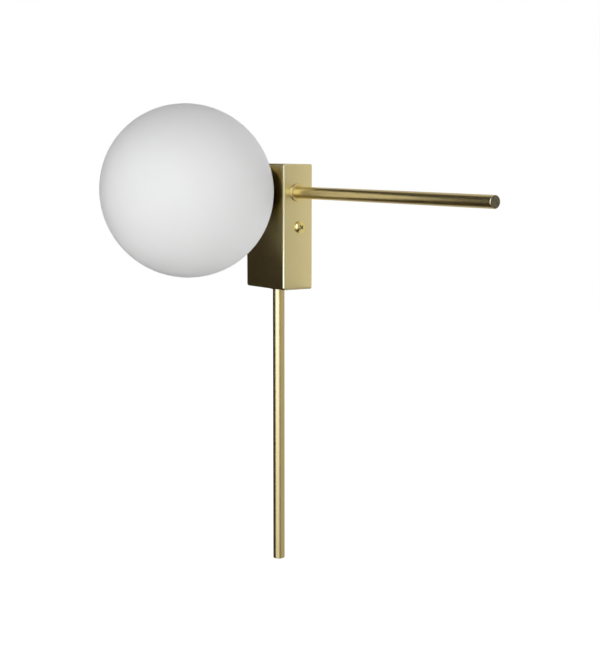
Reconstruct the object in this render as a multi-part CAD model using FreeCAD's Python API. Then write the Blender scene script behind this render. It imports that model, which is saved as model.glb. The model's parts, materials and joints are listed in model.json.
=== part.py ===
import FreeCAD, Part
import math
import os

# Wall sconce: a brass box on the wall, an opal glass globe in front of it,
# a plain rod out of its right side and another out of its bottom.
# Millimetres. X runs along the wall, Y into the wall, Z up.
# The origin lies on the wall, midway between the two wall screws.

V = FreeCAD.Vector
RIGHT = V(1, 0, 0)
LEFT = V(-1, 0, 0)
FORWARD = V(0, -1, 0)
BACK = V(0, 1, 0)
UP = V(0, 0, 1)
DOWN = V(0, 0, -1)
SIDES = (-1, 1)

# Brass box
BOX_WIDTH = 56.0
BOX_HEIGHT = 105.0
BOX_DEPTH = 29.0
BOX_WALL = 1.5
BOX_EDGE_RADIUS = 2.0
BOX_INNER_RADIUS = 0.8

# Heights above the middle of the box
GLOBE_AXIS_HEIGHT = 30.0
ROD_AXIS_HEIGHT = 29.0

# Rods and the collars at their feet
ROD_DIAMETER = 10.0
ROD_LENGTH = 240.0
ROD_CHAMFER = 0.7
ROD_TAP_DEPTH = 14.0
ROD_TAP_CONE = 1.6
COLLAR_DIAMETER = 15.6
COLLAR_HEIGHT = 1.5
COLLAR_ROUNDING = 1.0
COLLAR_LIP_WIDTH = 0.7
COLLAR_LIP_HEIGHT = 0.3

# Screws that hold the rods from inside the box
ROD_WASHER_RADIUS = 5.6
ROD_WASHER_THICKNESS = 1.4
ROD_SCREW_HEAD = 10.5
ROD_SCREW_CROWN = 3.3
ROD_SCREW_RIM = 0.6
ROD_SCREW_FLAT = 0.5
ROD_SCREW_LENGTH = 14.0
ROD_SCREW_KEY = 4.0
ROD_SCREW_KEY_DEPTH = 2.0
ROD_WASHER_SPLIT = 1.0

# Globe of opal glass, with its neck folded inwards
GLOBE_DIAMETER = 140.0
GLOBE_WALL = 3.0
GLOBE_GAP = 5.5
NECK_BORE_RADIUS = 16.3
NECK_WALL = 2.9
NECK_LENGTH = 12.0

# Waist and turned holder behind the globe
SPACER_LENGTH = 4.8
SPACER_RADIUS = 8.0
SPACER_WAIST = 7.0
HOLDER_RADIUS = 20.4
HOLDER_FLOOR = 2.0
HOLDER_CORNER = 1.4
HOLDER_LIP = 1.0
SPIGOT_RADIUS = 15.95
SPIGOT_WALL = 2.0
SPIGOT_LENGTH = 10.0
SPIGOT_LEAD_IN = 0.6
SEAL_THICKNESS = 1.4
SEAL_PLAY = 0.35

# Hollow threaded stem through the front of the box, with its nuts
STEM_RADIUS = 5.0
STEM_BORE_RADIUS = 3.8
STEM_INSIDE = 9.0
STEM_PAST_NUT = 1.2
STEM_EDGE = 0.5
STEM_NUT_FLATS = 14.0
STEM_NUT_THICKNESS = 3.0
STEM_WASHER_RADIUS = 9.4
STEM_WASHER_THICKNESS = 0.8
STEM_WASHER_TEETH = 12
STEM_WASHER_NOTCH = 0.8

# Steel bracket on the wall
SHEET = 2.0
STRIP_WIDTH = 24.0
STRIP_HEIGHT = 96.0
WING_HEIGHT = 18.0
EAR_REACH = 19.0
EAR_PLAY = 0.3
BEND_RADIUS = 2.0
BRACKET_CORNER = 4.0
SLOT_SPACING = 80.0
SLOT_WIDTH = 4.6
SLOT_LENGTH = 10.0
CLINCH_NUT_RADIUS = 4.6
CLINCH_NUT_THICKNESS = 3.0

# Bush round the supply cable
CABLE_HOLE_HEIGHT = -24.0
CABLE_HOLE_RADIUS = 6.5
CABLE_BORE_RADIUS = 4.0
BUSH_FLANGE_RADIUS = 8.6
BUSH_FLANGE = 1.8
BUSH_EDGE = 0.6
BUSH_MOUTH = 1.0

# Thread sizes and the play round screws
M3 = 3.0
M4 = 4.0
M5 = 5.0
M6 = 6.0
HOLE_PLAY = 0.2
THREAD_PLAY = 0.05
SCREW_TIP = 0.4
NUT_CORNER_ANGLE = 30.0

# Domed screw heads: where the dome's arc passes, and the cross recess, as shares of the head
DOME_OUT = 0.55
DOME_UP = 0.78
RECESS_ACROSS = 0.52
RECESS_DOWN = 0.62
RECESS_WING = 0.2
RECESS_TAPER = 0.45
RECESS_DRAFT = 0.8
RECESS_TURN = 45

# Domed screws in the sides of the box
SIDE_SCREW_Y = -12.3
SIDE_SCREW_HEAD = 10.0
SIDE_SCREW_RIM = 0.7
SIDE_SCREW_CROWN = 3.0
SIDE_SCREW_LENGTH = 10.0

# Terminal block with one pole each for live, earth and neutral
POLE_PITCH = 9.5
POLE_COUNT = 3
POLE_WIDTH = 7.7
BLOCK_HEIGHT = 18.0
BLOCK_DEPTH = 13.0
BLOCK_WEB = 5.0
WEB_INSET = 0.6
WEB_STEP = 1.0
POLE_EDGE = 1.2
TOWER_RADIUS = 3.0
TOWER_HEIGHT = 3.0
WELL_PLAY = 0.3
TUBE_Y = -8.2
TUBE_RADIUS = 2.6
TUBE_BORE = 1.7
TUBE_LENGTH = 16.0
CLAMP_RADIUS = 1.4
CLAMP_LENGTH = 4.2
CLAMP_HEIGHT = 4.4
CLAMP_SLOT_WIDTH = 0.6
CLAMP_SLOT_DEPTH = 0.8
BLOCK_SCREW_HEAD = 3.8
BLOCK_SCREW_RIM = 0.4
BLOCK_SCREW_CROWN = 1.6

# Leads
WIRE_RADIUS = 1.1
CORE_RADIUS = 0.6
BARE_LENGTH = 4.5
LEAD_SPREAD = 1.7
LEAD_TUCK = 0.5
LAMP_LEAD_RISE = 7.0
LAMP_LEAD_TURN_Y = -12.0
EARTH_LEAD_RISE = 3.2
EARTH_LEAD_GRIP = 2.5
ARC_SHARE = 0.45

# Earth tag and its screw
EARTH_HEIGHT = 25.0
EARTH_SHEET = 0.8
EARTH_RING_RADIUS = 3.8
EARTH_NECK = 5.5
EARTH_NECK_WIDTH = 3.0
EARTH_BARREL_Y = -3.7
EARTH_BARREL_RADIUS = 1.7
EARTH_BARREL_END = 8.5
EARTH_GRIP = 3.2
EARTH_WASHER_RADIUS = 4.2
EARTH_SCREW_HEAD = 7.2
EARTH_SCREW_RIM = 0.6
EARTH_SCREW_CROWN = 2.6

# Bridge that lifts the lamp holder clear of the stem nut
BRIDGE_SHEET = 1.0
BRIDGE_FOOT_RADIUS = 8.6
BRIDGE_REACH = 12.6
BRIDGE_WIDTH = 8.0
BRIDGE_TAB = 5.2
BRIDGE_BEND = 0.9

# Ceramic lamp holder for a two-pin bulb
CERAMIC_BASE = 18.0
CERAMIC_LENGTH = 20.0
BARREL_X = 8.5
BARREL_Z = 6.5
BARREL_CORNER = 2.5
BARREL_CHAMFER = 0.6
EAR_X = 5.0
EAR_Z = 12.8
EAR_THICKNESS = 6.0
EAR_CORNER = 2.8
EAR_SCREW_REACH = 9.6
EAR_SCREW_HEAD = 5.2
EAR_SCREW_RIM = 0.5
EAR_SCREW_CROWN = 1.8
EAR_SCREW_LENGTH = 8.4
SLOT_X = 2.1
SLOT_Z = 0.95
SLOT_SPARE = 2.0
CONTACT_SHEET = 0.3
CONTACT_LENGTH = 9.0
CONTACT_WIDTH = 3.0

# Bulb
PIN_SPACING = 9.0
PIN_LENGTH = 14.0
PIN_WIRE_RADIUS = 0.4
PIN_LOOP_RADIUS = 1.2
BULB_RADIUS = 8.0
BULB_LENGTH = 50.0
BULB_WALL = 0.8
BULB_FOOT = 7.0
BULB_FOOT_X = 6.8
BULB_FOOT_Z = 4.2
BULB_FOOT_CORNER = 1.5
BULB_COLLAR = 5.0
BULB_SPIGOT = 2.5
LIGHT_COLUMN = 26.0
LIGHT_COLUMN_HALF = 3.2
LIGHT_ROWS = 5
CHIP_WIDTH = 2.8
CHIP_LENGTH = 3.5
CHIP_HEIGHT = 0.6

# Worked out from the above
FACE_Y = -BOX_DEPTH
MID_DEPTH = -BOX_DEPTH / 2
INNER_X = BOX_WIDTH / 2 - BOX_WALL
INNER_Z = BOX_HEIGHT / 2 - BOX_WALL
ROD_RADIUS = ROD_DIAMETER / 2
GLOBE_RADIUS = GLOBE_DIAMETER / 2
GLOBE_CENTRE = GLOBE_GAP + GLOBE_RADIUS
HOLDER_SEAT = SPACER_LENGTH + HOLDER_FLOOR
GLASS_RIM = HOLDER_SEAT + SEAL_THICKNESS
STEM_END = HOLDER_SEAT + BRIDGE_SHEET + STEM_NUT_THICKNESS + STEM_PAST_NUT
EAR_X_OUT = INNER_X - EAR_PLAY
BULB_SEAT = CERAMIC_BASE + CERAMIC_LENGTH
SLOT_FOOT = BULB_SEAT - PIN_LENGTH - SLOT_SPARE
POLE_XS = [POLE_PITCH * (i - (POLE_COUNT - 1) / 2) for i in range(POLE_COUNT)]
BLOCK_SCREW_X = POLE_PITCH / 2
ROD_FEET = {
    "horizontal": (V(BOX_WIDTH / 2, MID_DEPTH, ROD_AXIS_HEIGHT), RIGHT),
    "vertical": (V(0, MID_DEPTH, -BOX_HEIGHT / 2), DOWN),
}


def out(distance, x=0.0, z=0.0):
    """Point that far in front of the box, measured from the globe's axis."""
    return V(x, FACE_Y - distance, GLOBE_AXIS_HEIGHT + z)


def rod(radius, length, start, direction):
    return Part.makeCylinder(radius, length, start, direction)


def ring(outer, inner, length, start, direction):
    return rod(outer, length, start, direction).cut(rod(inner, length, start, direction))


def block(a, b):
    """Box between two opposite corners, given in any order."""
    low = V(min(a.x, b.x), min(a.y, b.y), min(a.z, b.z))
    high = V(max(a.x, b.x), max(a.y, b.y), max(a.z, b.z))
    return Part.makeBox(high.x - low.x, high.y - low.y, high.z - low.z, low)


def placed(shape, start, direction):
    """The shape, moved from the origin to start, with its Z axis along direction."""
    shape.Placement = FreeCAD.Placement(start, FreeCAD.Rotation(UP, direction))
    return shape


def edges_along(shape, axis, length):
    """Straight edges of that length that run along the axis."""
    def reach(edge):
        first, last = edge.Vertexes[0].Point, edge.Vertexes[-1].Point
        return abs((last - first).dot(axis))
    return [e for e in shape.Edges if len(e.Vertexes) == 2 and abs(reach(e) - length) < 0.01
            and abs(e.Length - length) < 0.01]


def rounded_path(points, radii):
    """Straight runs through the points, with a tangent arc wherever the radius isn't zero."""
    edges = []
    here = points[0]
    for i in range(1, len(points) - 1):
        corner = points[i]
        if radii[i] == 0:
            edges.append(Part.LineSegment(here, corner).toShape())
            here = corner
            continue
        into = (corner - points[i - 1]).normalize()
        away = (points[i + 1] - corner).normalize()
        half_turn = into.getAngle(away) / 2
        trim = radii[i] * math.tan(half_turn)
        start = corner - into * trim
        end = corner + away * trim
        inward = (away - into).normalize()
        middle = corner + inward * (radii[i] / math.cos(half_turn) - radii[i])
        if (start - here).Length > 1e-6:
            edges.append(Part.LineSegment(here, start).toShape())
        edges.append(Part.Arc(start, middle, end).toShape())
        here = end
    edges.append(Part.LineSegment(here, points[-1]).toShape())
    return edges


def revolved(edges, start, direction):
    """Solid of revolution. The profile lies in XZ: X is the radius, Z runs along the axis."""
    face = Part.Face(Part.Wire(Part.__sortEdges__(edges)))
    return placed(face.revolve(V(0, 0, 0), UP, 360), start, direction)


def turned(corners, start, direction):
    """Turned solid. Each corner is a radius, a place along the axis and, if rounded, a third number."""
    closed = list(corners) + [corners[0]]
    points = [V(c[0], 0, c[1]) for c in closed]
    radii = [c[2] if len(c) > 2 else 0 for c in closed]
    return revolved(rounded_path(points, radii), start, direction)


def line(x1, z1, x2, z2):
    return Part.LineSegment(V(x1, 0, z1), V(x2, 0, z2)).toShape()


def arc(x1, z1, x2, z2, x3, z3):
    return Part.Arc(V(x1, 0, z1), V(x2, 0, z2), V(x3, 0, z3)).toShape()


def hexagon(flats, thickness, start, direction):
    """Hexagonal prism whose corners are turned off at both ends."""
    corner = flats / math.sqrt(3)
    angles = [math.radians(60 * i) for i in range(7)]
    outline = Part.makePolygon([V(corner * math.cos(a), corner * math.sin(a), 0) for a in angles])
    prism = Part.Face(outline).extrude(V(0, 0, thickness))
    flat = flats / 2
    drop = (corner - flat) * math.tan(math.radians(NUT_CORNER_ANGLE))
    blank = turned([
        (0, 0),
        (flat, 0),
        (corner, drop),
        (corner, thickness - drop),
        (flat, thickness),
        (0, thickness),
    ], V(0, 0, 0), UP)
    return placed(prism.common(blank), start, direction)


def cross_recess(width, depth, crown, direction):
    """Tapered cross that is cut into a screw head, from its crown down."""
    wing = width * RECESS_WING
    tool = None
    for turn in (RECESS_TURN, RECESS_TURN + 90):
        upper = [V(-width / 2, -wing / 2, 0), V(width / 2, -wing / 2, 0), V(width / 2, wing / 2, 0),
                 V(-width / 2, wing / 2, 0), V(-width / 2, -wing / 2, 0)]
        lower = [V(p.x * RECESS_TAPER, p.y * RECESS_DRAFT, -depth) for p in upper]
        wedge = Part.makeLoft([Part.makePolygon(upper), Part.makePolygon(lower)], True, True)
        wedge.rotate(V(0, 0, 0), UP, turn)
        tool = wedge if tool is None else tool.fuse(wedge)
    return placed(tool, crown, direction)


def domed_screw(thread, head, rim, crown, length, seat, direction):
    """Cross-recess screw with a domed head. The head stands on seat and points along direction."""
    half = head / 2
    dome = revolved([
        line(0, 0, half, 0),
        line(half, 0, half, rim),
        arc(half, rim, half * DOME_OUT, rim + (crown - rim) * DOME_UP, 0, crown),
        line(0, crown, 0, 0),
    ], seat, direction)
    mouth = seat + direction * (crown + THREAD_PLAY)
    recess = cross_recess(head * RECESS_ACROSS, crown * RECESS_DOWN, mouth, direction)
    shank = thread / 2 - THREAD_PLAY
    body = turned([
        (0, 0),
        (shank, 0),
        (shank, length - SCREW_TIP),
        (shank - SCREW_TIP, length),
        (0, length),
    ], seat, direction * -1)
    return dome.cut(recess).fuse(body)


def insulated_lead(points):
    """Lead along the points, on arcs as large as its runs allow, with a stripped end at the first."""
    radii = [0]
    for i in range(1, len(points) - 1):
        before = points[i] - points[i - 1]
        after = points[i + 1] - points[i]
        radii.append(ARC_SHARE * min(before.Length, after.Length) / math.tan(before.getAngle(after) / 2))
    print("  lead radii", [round(r, 1) for r in radii[1:]])
    path = Part.Wire(rounded_path(points, radii + [0]))
    first = (points[1] - points[0]).normalize()
    circle = Part.Wire(Part.makeCircle(WIRE_RADIUS, points[0], first))
    cover = path.makePipeShell([circle], True, False)
    return cover.fuse(rod(CORE_RADIUS, BARE_LENGTH, points[0], first * -1))


def wall_slot(height):
    """Upright slot for a wall screw, with round ends."""
    half = (SLOT_LENGTH - SLOT_WIDTH) / 2
    radius = SLOT_WIDTH / 2
    slot = block(V(-radius, -SHEET - 1, height - half), V(radius, 1, height + half))
    for end in SIDES:
        slot = slot.fuse(rod(radius, SHEET + 2, V(0, 1, height + end * half), FORWARD))
    return slot


def wall_bracket():
    """Strip with a slot at each end, and two wings that are bent forward into ears."""
    strip = block(V(-STRIP_WIDTH / 2, -SHEET, -STRIP_HEIGHT / 2), V(STRIP_WIDTH / 2, 0, STRIP_HEIGHT / 2))
    strip = strip.makeFillet(BRACKET_CORNER, edges_along(strip, BACK, SHEET))
    wings = block(V(-EAR_X_OUT, -EAR_REACH, -WING_HEIGHT / 2), V(EAR_X_OUT, 0, WING_HEIGHT / 2))
    folds = [e for e in edges_along(wings, UP, WING_HEIGHT) if e.CenterOfMass.y > -1]
    wings = wings.makeFillet(BEND_RADIUS + SHEET, folds)
    inside = EAR_X_OUT - SHEET
    hollow = block(V(-inside, -EAR_REACH - 1, -WING_HEIGHT), V(inside, -SHEET, WING_HEIGHT))
    folds = [e for e in edges_along(hollow, UP, WING_HEIGHT * 2) if e.CenterOfMass.y > -SHEET - 1]
    wings = wings.cut(hollow.makeFillet(BEND_RADIUS, folds))
    tips = [e for e in edges_along(wings, RIGHT, SHEET) if e.CenterOfMass.y < 1 - EAR_REACH]
    wings = wings.makeFillet(BRACKET_CORNER, tips)
    bracket = strip.fuse(wings).removeSplitter()
    for side in SIDES:
        bracket = bracket.cut(wall_slot(side * SLOT_SPACING / 2))
        ear = V(side * (EAR_X_OUT - SHEET - 1), SIDE_SCREW_Y, 0)
        bracket = bracket.cut(rod(M5 / 2 + HOLE_PLAY, SHEET + 2, ear, RIGHT * side))
    for radius, x, height in (
        (CABLE_HOLE_RADIUS, 0, CABLE_HOLE_HEIGHT),
        (M4 / 2, 0, EARTH_HEIGHT),
        (M3 / 2, BLOCK_SCREW_X, 0),
    ):
        bracket = bracket.cut(rod(radius, SHEET + 2, V(x, 1, height), FORWARD))
    return bracket


def bracket_nuts():
    """Round clinch nuts on the inner faces of the ears."""
    nuts = []
    for side in SIDES:
        start = V(side * (EAR_X_OUT - SHEET - CLINCH_NUT_THICKNESS), SIDE_SCREW_Y, 0)
        nuts.append(ring(CLINCH_NUT_RADIUS, M5 / 2, CLINCH_NUT_THICKNESS, start, RIGHT * side))
    return Part.makeCompound(nuts)


def cable_bush():
    """Plastic bush that keeps the supply cable off the edge of the bracket."""
    barrel = CABLE_HOLE_RADIUS - THREAD_PLAY
    height = SHEET + BUSH_FLANGE
    return turned([
        (CABLE_BORE_RADIUS, 0),
        (barrel, 0),
        (barrel, SHEET),
        (BUSH_FLANGE_RADIUS, SHEET),
        (BUSH_FLANGE_RADIUS, height, BUSH_EDGE),
        (CABLE_BORE_RADIUS + BUSH_MOUTH, height),
        (CABLE_BORE_RADIUS, height - BUSH_MOUTH),
    ], V(0, 0, CABLE_HOLE_HEIGHT), FORWARD)


def terminal_block():
    """Row of moulded poles, each with two screw wells, joined by a low web."""
    back = -SHEET
    front = back - BLOCK_DEPTH
    pole_front = front + TOWER_HEIGHT
    half_row = POLE_PITCH * POLE_COUNT / 2 - WEB_INSET
    half_height = BLOCK_HEIGHT / 2
    web_height = half_height - WEB_STEP
    body = block(V(-half_row, back - BLOCK_WEB, -web_height), V(half_row, back, web_height))
    for x in POLE_XS:
        low = V(x - POLE_WIDTH / 2, pole_front, -half_height)
        pole = block(low, V(x + POLE_WIDTH / 2, back, half_height))
        rim = [e for e in pole.Edges if e.BoundBox.YMax < pole_front + 0.1]
        body = body.fuse(pole.makeFillet(POLE_EDGE, rim))
        for end in SIDES:
            foot = V(x, back - 1, end * CLAMP_HEIGHT)
            body = body.fuse(rod(TOWER_RADIUS, BLOCK_DEPTH - 1, foot, FORWARD))
    body = body.removeSplitter()
    for x in POLE_XS:
        top = V(x, TUBE_Y, half_height + 1)
        body = body.cut(rod(TUBE_RADIUS + THREAD_PLAY, BLOCK_HEIGHT + 2, top, DOWN))
        for end in SIDES:
            well = V(x, TUBE_Y, end * CLAMP_HEIGHT)
            body = body.cut(rod(CLAMP_RADIUS + WELL_PLAY, BLOCK_DEPTH, well, FORWARD))
    body = body.cut(rod(M3 / 2 + HOLE_PLAY, BLOCK_DEPTH, V(BLOCK_SCREW_X, 0, 0), FORWARD))
    head_seat = V(BLOCK_SCREW_X, back - BLOCK_WEB, 0)
    return body.cut(rod(BLOCK_SCREW_HEAD / 2 + 0.1, BLOCK_DEPTH, head_seat, FORWARD))


def terminal_tubes():
    """Brass tubes that the wires are clamped in."""
    tubes = []
    for x in POLE_XS:
        tube = ring(TUBE_RADIUS, TUBE_BORE, TUBE_LENGTH, V(x, TUBE_Y, -TUBE_LENGTH / 2), UP)
        for end in SIDES:
            start = V(x, TUBE_Y, end * CLAMP_HEIGHT)
            tube = tube.cut(rod(CLAMP_RADIUS + THREAD_PLAY, TUBE_RADIUS + 1, start, FORWARD))
        tubes.append(tube)
    return Part.makeCompound(tubes)


def terminal_screws():
    """Slotted clamp screws: the upper ones hold the leads, the lower ones stand open."""
    screws = []
    for x in POLE_XS:
        for end, lift in ((1, CORE_RADIUS + THREAD_PLAY), (-1, TUBE_BORE)):
            start = V(x, TUBE_Y - lift, end * CLAMP_HEIGHT)
            top = start + FORWARD * CLAMP_LENGTH
            half = CLAMP_SLOT_WIDTH / 2
            slot = block(top + V(-2, -1, -half), top + V(2, CLAMP_SLOT_DEPTH, half))
            screws.append(rod(CLAMP_RADIUS, CLAMP_LENGTH, start, FORWARD).cut(slot))
    return Part.makeCompound(screws)


def terminal_block_screw():
    seat = V(BLOCK_SCREW_X, -SHEET - BLOCK_WEB, 0)
    return domed_screw(M3, BLOCK_SCREW_HEAD, BLOCK_SCREW_RIM, BLOCK_SCREW_CROWN,
                       SHEET + BLOCK_WEB, seat, FORWARD)


def earth_tag():
    """Ring tag under the earth screw, with a barrel that is crimped round the lead."""
    half_neck = EARTH_NECK_WIDTH / 2
    neck_foot = V(-half_neck, -SHEET - EARTH_SHEET, EARTH_HEIGHT - EARTH_NECK)
    tag = rod(EARTH_RING_RADIUS, EARTH_SHEET, V(0, -SHEET, EARTH_HEIGHT), FORWARD)
    tag = tag.fuse(block(neck_foot, V(half_neck, -SHEET, EARTH_HEIGHT)))
    foot = V(0, EARTH_BARREL_Y, EARTH_HEIGHT - EARTH_BARREL_END)
    tag = tag.fuse(rod(EARTH_BARREL_RADIUS, EARTH_GRIP + EARTH_SHEET, foot, UP))
    tag = tag.cut(rod(M4 / 2 + HOLE_PLAY, SHEET * 2, V(0, 0, EARTH_HEIGHT), FORWARD))
    return tag.cut(rod(WIRE_RADIUS + THREAD_PLAY, EARTH_GRIP, foot, UP)).removeSplitter()


def earth_screw():
    """Screw with a captive washer that clamps the earth tag to the bracket."""
    seat = V(0, -SHEET - EARTH_SHEET, EARTH_HEIGHT)
    washer = rod(EARTH_WASHER_RADIUS, EARTH_SHEET, seat, FORWARD)
    reach = SHEET + EARTH_SHEET * 2
    screw = domed_screw(M4, EARTH_SCREW_HEAD, EARTH_SCREW_RIM, EARTH_SCREW_CROWN,
                        reach, seat + FORWARD * EARTH_SHEET, FORWARD)
    return screw.fuse(washer).removeSplitter()


def lamp_lead(side):
    """Live or neutral lead, from its terminal through the stem to the lamp holder."""
    pole = side * POLE_PITCH
    top = TUBE_LENGTH / 2
    return insulated_lead([
        V(pole, TUBE_Y, top - LEAD_TUCK),
        V(pole, TUBE_Y, top + LAMP_LEAD_RISE),
        V(side * LEAD_SPREAD, LAMP_LEAD_TURN_Y, GLOBE_AXIS_HEIGHT),
        out(STEM_END + 1, side * LEAD_SPREAD),
        out(CERAMIC_BASE - 1.5, side * PIN_SPACING / 2),
        out(CERAMIC_BASE + 2, side * PIN_SPACING / 2),
    ])


def earth_lead():
    """Short lead from the middle terminal to the earth tag."""
    top = TUBE_LENGTH / 2
    tag_foot = EARTH_HEIGHT - EARTH_BARREL_END
    return insulated_lead([
        V(0, TUBE_Y, top - LEAD_TUCK),
        V(0, TUBE_Y, top + EARTH_LEAD_RISE),
        V(0, EARTH_BARREL_Y, tag_foot - 2),
        V(0, EARTH_BARREL_Y, tag_foot + EARTH_LEAD_GRIP),
    ])


def canopy():
    """Box of brass sheet, open at the wall, with softly rounded outer edges."""
    half_x = BOX_WIDTH / 2
    half_z = BOX_HEIGHT / 2
    shell = block(V(-half_x, FACE_Y, -half_z), V(half_x, 0, half_z))
    shell = shell.makeFillet(BOX_EDGE_RADIUS, [e for e in shell.Edges if e.BoundBox.YMin < -1])
    cavity = block(V(-INNER_X, FACE_Y + BOX_WALL, -INNER_Z), V(INNER_X, 1, INNER_Z))
    upright = edges_along(cavity, BACK, BOX_DEPTH - BOX_WALL + 1)
    shell = shell.cut(cavity.makeFillet(BOX_INNER_RADIUS, upright))
    through = BOX_WALL * 3
    shell = shell.cut(rod(STEM_RADIUS + HOLE_PLAY, through, out(-BOX_WALL * 2), FORWARD))
    for foot, direction in ROD_FEET.values():
        start = foot - direction * (BOX_WALL * 2)
        shell = shell.cut(rod(M6 / 2 + HOLE_PLAY, through, start, direction))
    for side in SIDES:
        start = V(side * (INNER_X - 1), SIDE_SCREW_Y, 0)
        shell = shell.cut(rod(M5 / 2 + HOLE_PLAY, through, start, RIGHT * side))
    return shell


def canopy_screws():
    """One domed screw on each side, in the clinch nuts of the bracket."""
    screws = []
    for side in SIDES:
        seat = V(side * BOX_WIDTH / 2, SIDE_SCREW_Y, 0)
        screws.append(domed_screw(M5, SIDE_SCREW_HEAD, SIDE_SCREW_RIM, SIDE_SCREW_CROWN,
                                  SIDE_SCREW_LENGTH, seat, RIGHT * side))
    return Part.makeCompound(screws)


def brass_rod(which):
    """Solid bar with a chamfered free end and a tapped hole in its foot."""
    foot, direction = ROD_FEET[which]
    tap = M6 / 2
    return turned([
        (tap, 0),
        (ROD_RADIUS, 0),
        (ROD_RADIUS, ROD_LENGTH - ROD_CHAMFER),
        (ROD_RADIUS - ROD_CHAMFER, ROD_LENGTH),
        (0, ROD_LENGTH),
        (0, ROD_TAP_DEPTH + ROD_TAP_CONE),
        (tap, ROD_TAP_DEPTH),
    ], foot, direction)


def rod_collar(which):
    """Low ring round the foot of a rod: a rounded shoulder, a flat and a narrow lip at the bore."""
    foot, direction = ROD_FEET[which]
    bore = ROD_RADIUS + THREAD_PLAY
    outer = COLLAR_DIAMETER / 2
    lip = bore + COLLAR_LIP_WIDTH
    flat = COLLAR_HEIGHT - COLLAR_LIP_HEIGHT
    return turned([
        (bore, 0),
        (outer, 0),
        (outer, flat, COLLAR_ROUNDING),
        (lip, flat),
        (lip, COLLAR_HEIGHT),
        (bore, COLLAR_HEIGHT),
    ], foot, direction)


def rod_fixing_screws():
    """Button-head screws with a hexagon socket, driven from inside the box into the rods."""
    screws = []
    half = ROD_SCREW_HEAD / 2
    crown = ROD_SCREW_CROWN
    flat = half * ROD_SCREW_FLAT
    for foot, direction in ROD_FEET.values():
        seat = foot - direction * (BOX_WALL + ROD_WASHER_THICKNESS)
        inward = direction * -1
        head = revolved([
            line(0, 0, half, 0),
            line(half, 0, half, ROD_SCREW_RIM),
            arc(half, ROD_SCREW_RIM, half * 0.8, crown * 0.72, flat, crown),
            line(flat, crown, 0, crown),
            line(0, crown, 0, 0),
        ], seat, inward)
        key_floor = seat + inward * (crown - ROD_SCREW_KEY_DEPTH)
        head = head.cut(hexagon(ROD_SCREW_KEY, crown, key_floor, inward))
        screws.append(head.fuse(rod(M6 / 2 - THREAD_PLAY, ROD_SCREW_LENGTH, seat, direction)))
    return Part.makeCompound(screws)


def rod_spring_washers():
    """Split washers under the button heads."""
    washers = []
    for foot, direction in ROD_FEET.values():
        seat = foot - direction * (BOX_WALL + ROD_WASHER_THICKNESS)
        washer = ring(ROD_WASHER_RADIUS, M6 / 2 + HOLE_PLAY, ROD_WASHER_THICKNESS, seat, direction)
        half = ROD_WASHER_SPLIT / 2
        split = block(V(0, -half, -1), V(ROD_WASHER_RADIUS + 1, half, ROD_WASHER_THICKNESS + 1))
        washers.append(washer.cut(placed(split, seat, direction)))
    return Part.makeCompound(washers)


def stem_tube():
    """Hollow threaded tube that carries the globe holder and leads the wires out of the box."""
    length = STEM_INSIDE + STEM_END
    return turned([
        (STEM_BORE_RADIUS, 0),
        (STEM_RADIUS - STEM_EDGE, 0),
        (STEM_RADIUS, STEM_EDGE),
        (STEM_RADIUS, length - STEM_EDGE),
        (STEM_RADIUS - STEM_EDGE, length),
        (STEM_BORE_RADIUS, length),
    ], out(-STEM_INSIDE), FORWARD)


def stem_nuts():
    """Thin nuts: one inside the box, one inside the globe holder."""
    nuts = []
    inside = -BOX_WALL - STEM_WASHER_THICKNESS - STEM_NUT_THICKNESS
    for place in (inside, HOLDER_SEAT + BRIDGE_SHEET):
        nut = hexagon(STEM_NUT_FLATS, STEM_NUT_THICKNESS, out(place), FORWARD)
        nuts.append(nut.cut(rod(STEM_RADIUS + THREAD_PLAY, STEM_NUT_THICKNESS, out(place), FORWARD)))
    return Part.makeCompound(nuts)


def stem_washer():
    """Washer with locking teeth round its rim, under the nut inside the box."""
    start = out(-BOX_WALL - STEM_WASHER_THICKNESS)
    washer = ring(STEM_WASHER_RADIUS, STEM_RADIUS + HOLE_PLAY, STEM_WASHER_THICKNESS, start, FORWARD)
    for i in range(STEM_WASHER_TEETH):
        turn = 2 * math.pi * i / STEM_WASHER_TEETH
        place = V(STEM_WASHER_RADIUS * math.cos(turn), 0.5, STEM_WASHER_RADIUS * math.sin(turn))
        washer = washer.cut(rod(STEM_WASHER_NOTCH, 2, start + place, FORWARD))
    return washer


def stem_spacer():
    """Short turned waist between the box and the globe holder."""
    bore = STEM_RADIUS + HOLE_PLAY
    return revolved([
        line(bore, 0, SPACER_RADIUS, 0),
        arc(SPACER_RADIUS, 0, SPACER_WAIST, SPACER_LENGTH / 2, SPACER_RADIUS, SPACER_LENGTH),
        line(SPACER_RADIUS, SPACER_LENGTH, bore, SPACER_LENGTH),
        line(bore, SPACER_LENGTH, bore, 0),
    ], out(0), FORWARD)


def globe_holder():
    """Turned dish with a lip round the seal and a spigot that the glass neck screws onto."""
    bore = STEM_RADIUS + HOLE_PLAY
    lip_inside = HOLDER_RADIUS - HOLDER_LIP
    lip_end = HOLDER_SEAT + SEAL_THICKNESS * 0.75
    spigot_end = HOLDER_SEAT + SPIGOT_LENGTH
    spigot_bore = SPIGOT_RADIUS - SPIGOT_WALL
    return turned([
        (bore, SPACER_LENGTH),
        (HOLDER_RADIUS, SPACER_LENGTH, HOLDER_CORNER),
        (HOLDER_RADIUS, lip_end),
        (lip_inside, lip_end),
        (lip_inside, HOLDER_SEAT),
        (SPIGOT_RADIUS, HOLDER_SEAT),
        (SPIGOT_RADIUS, spigot_end - SPIGOT_LEAD_IN),
        (SPIGOT_RADIUS - SPIGOT_LEAD_IN, spigot_end),
        (spigot_bore, spigot_end),
        (spigot_bore, HOLDER_SEAT),
        (bore, HOLDER_SEAT),
    ], out(0), FORWARD)


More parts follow.
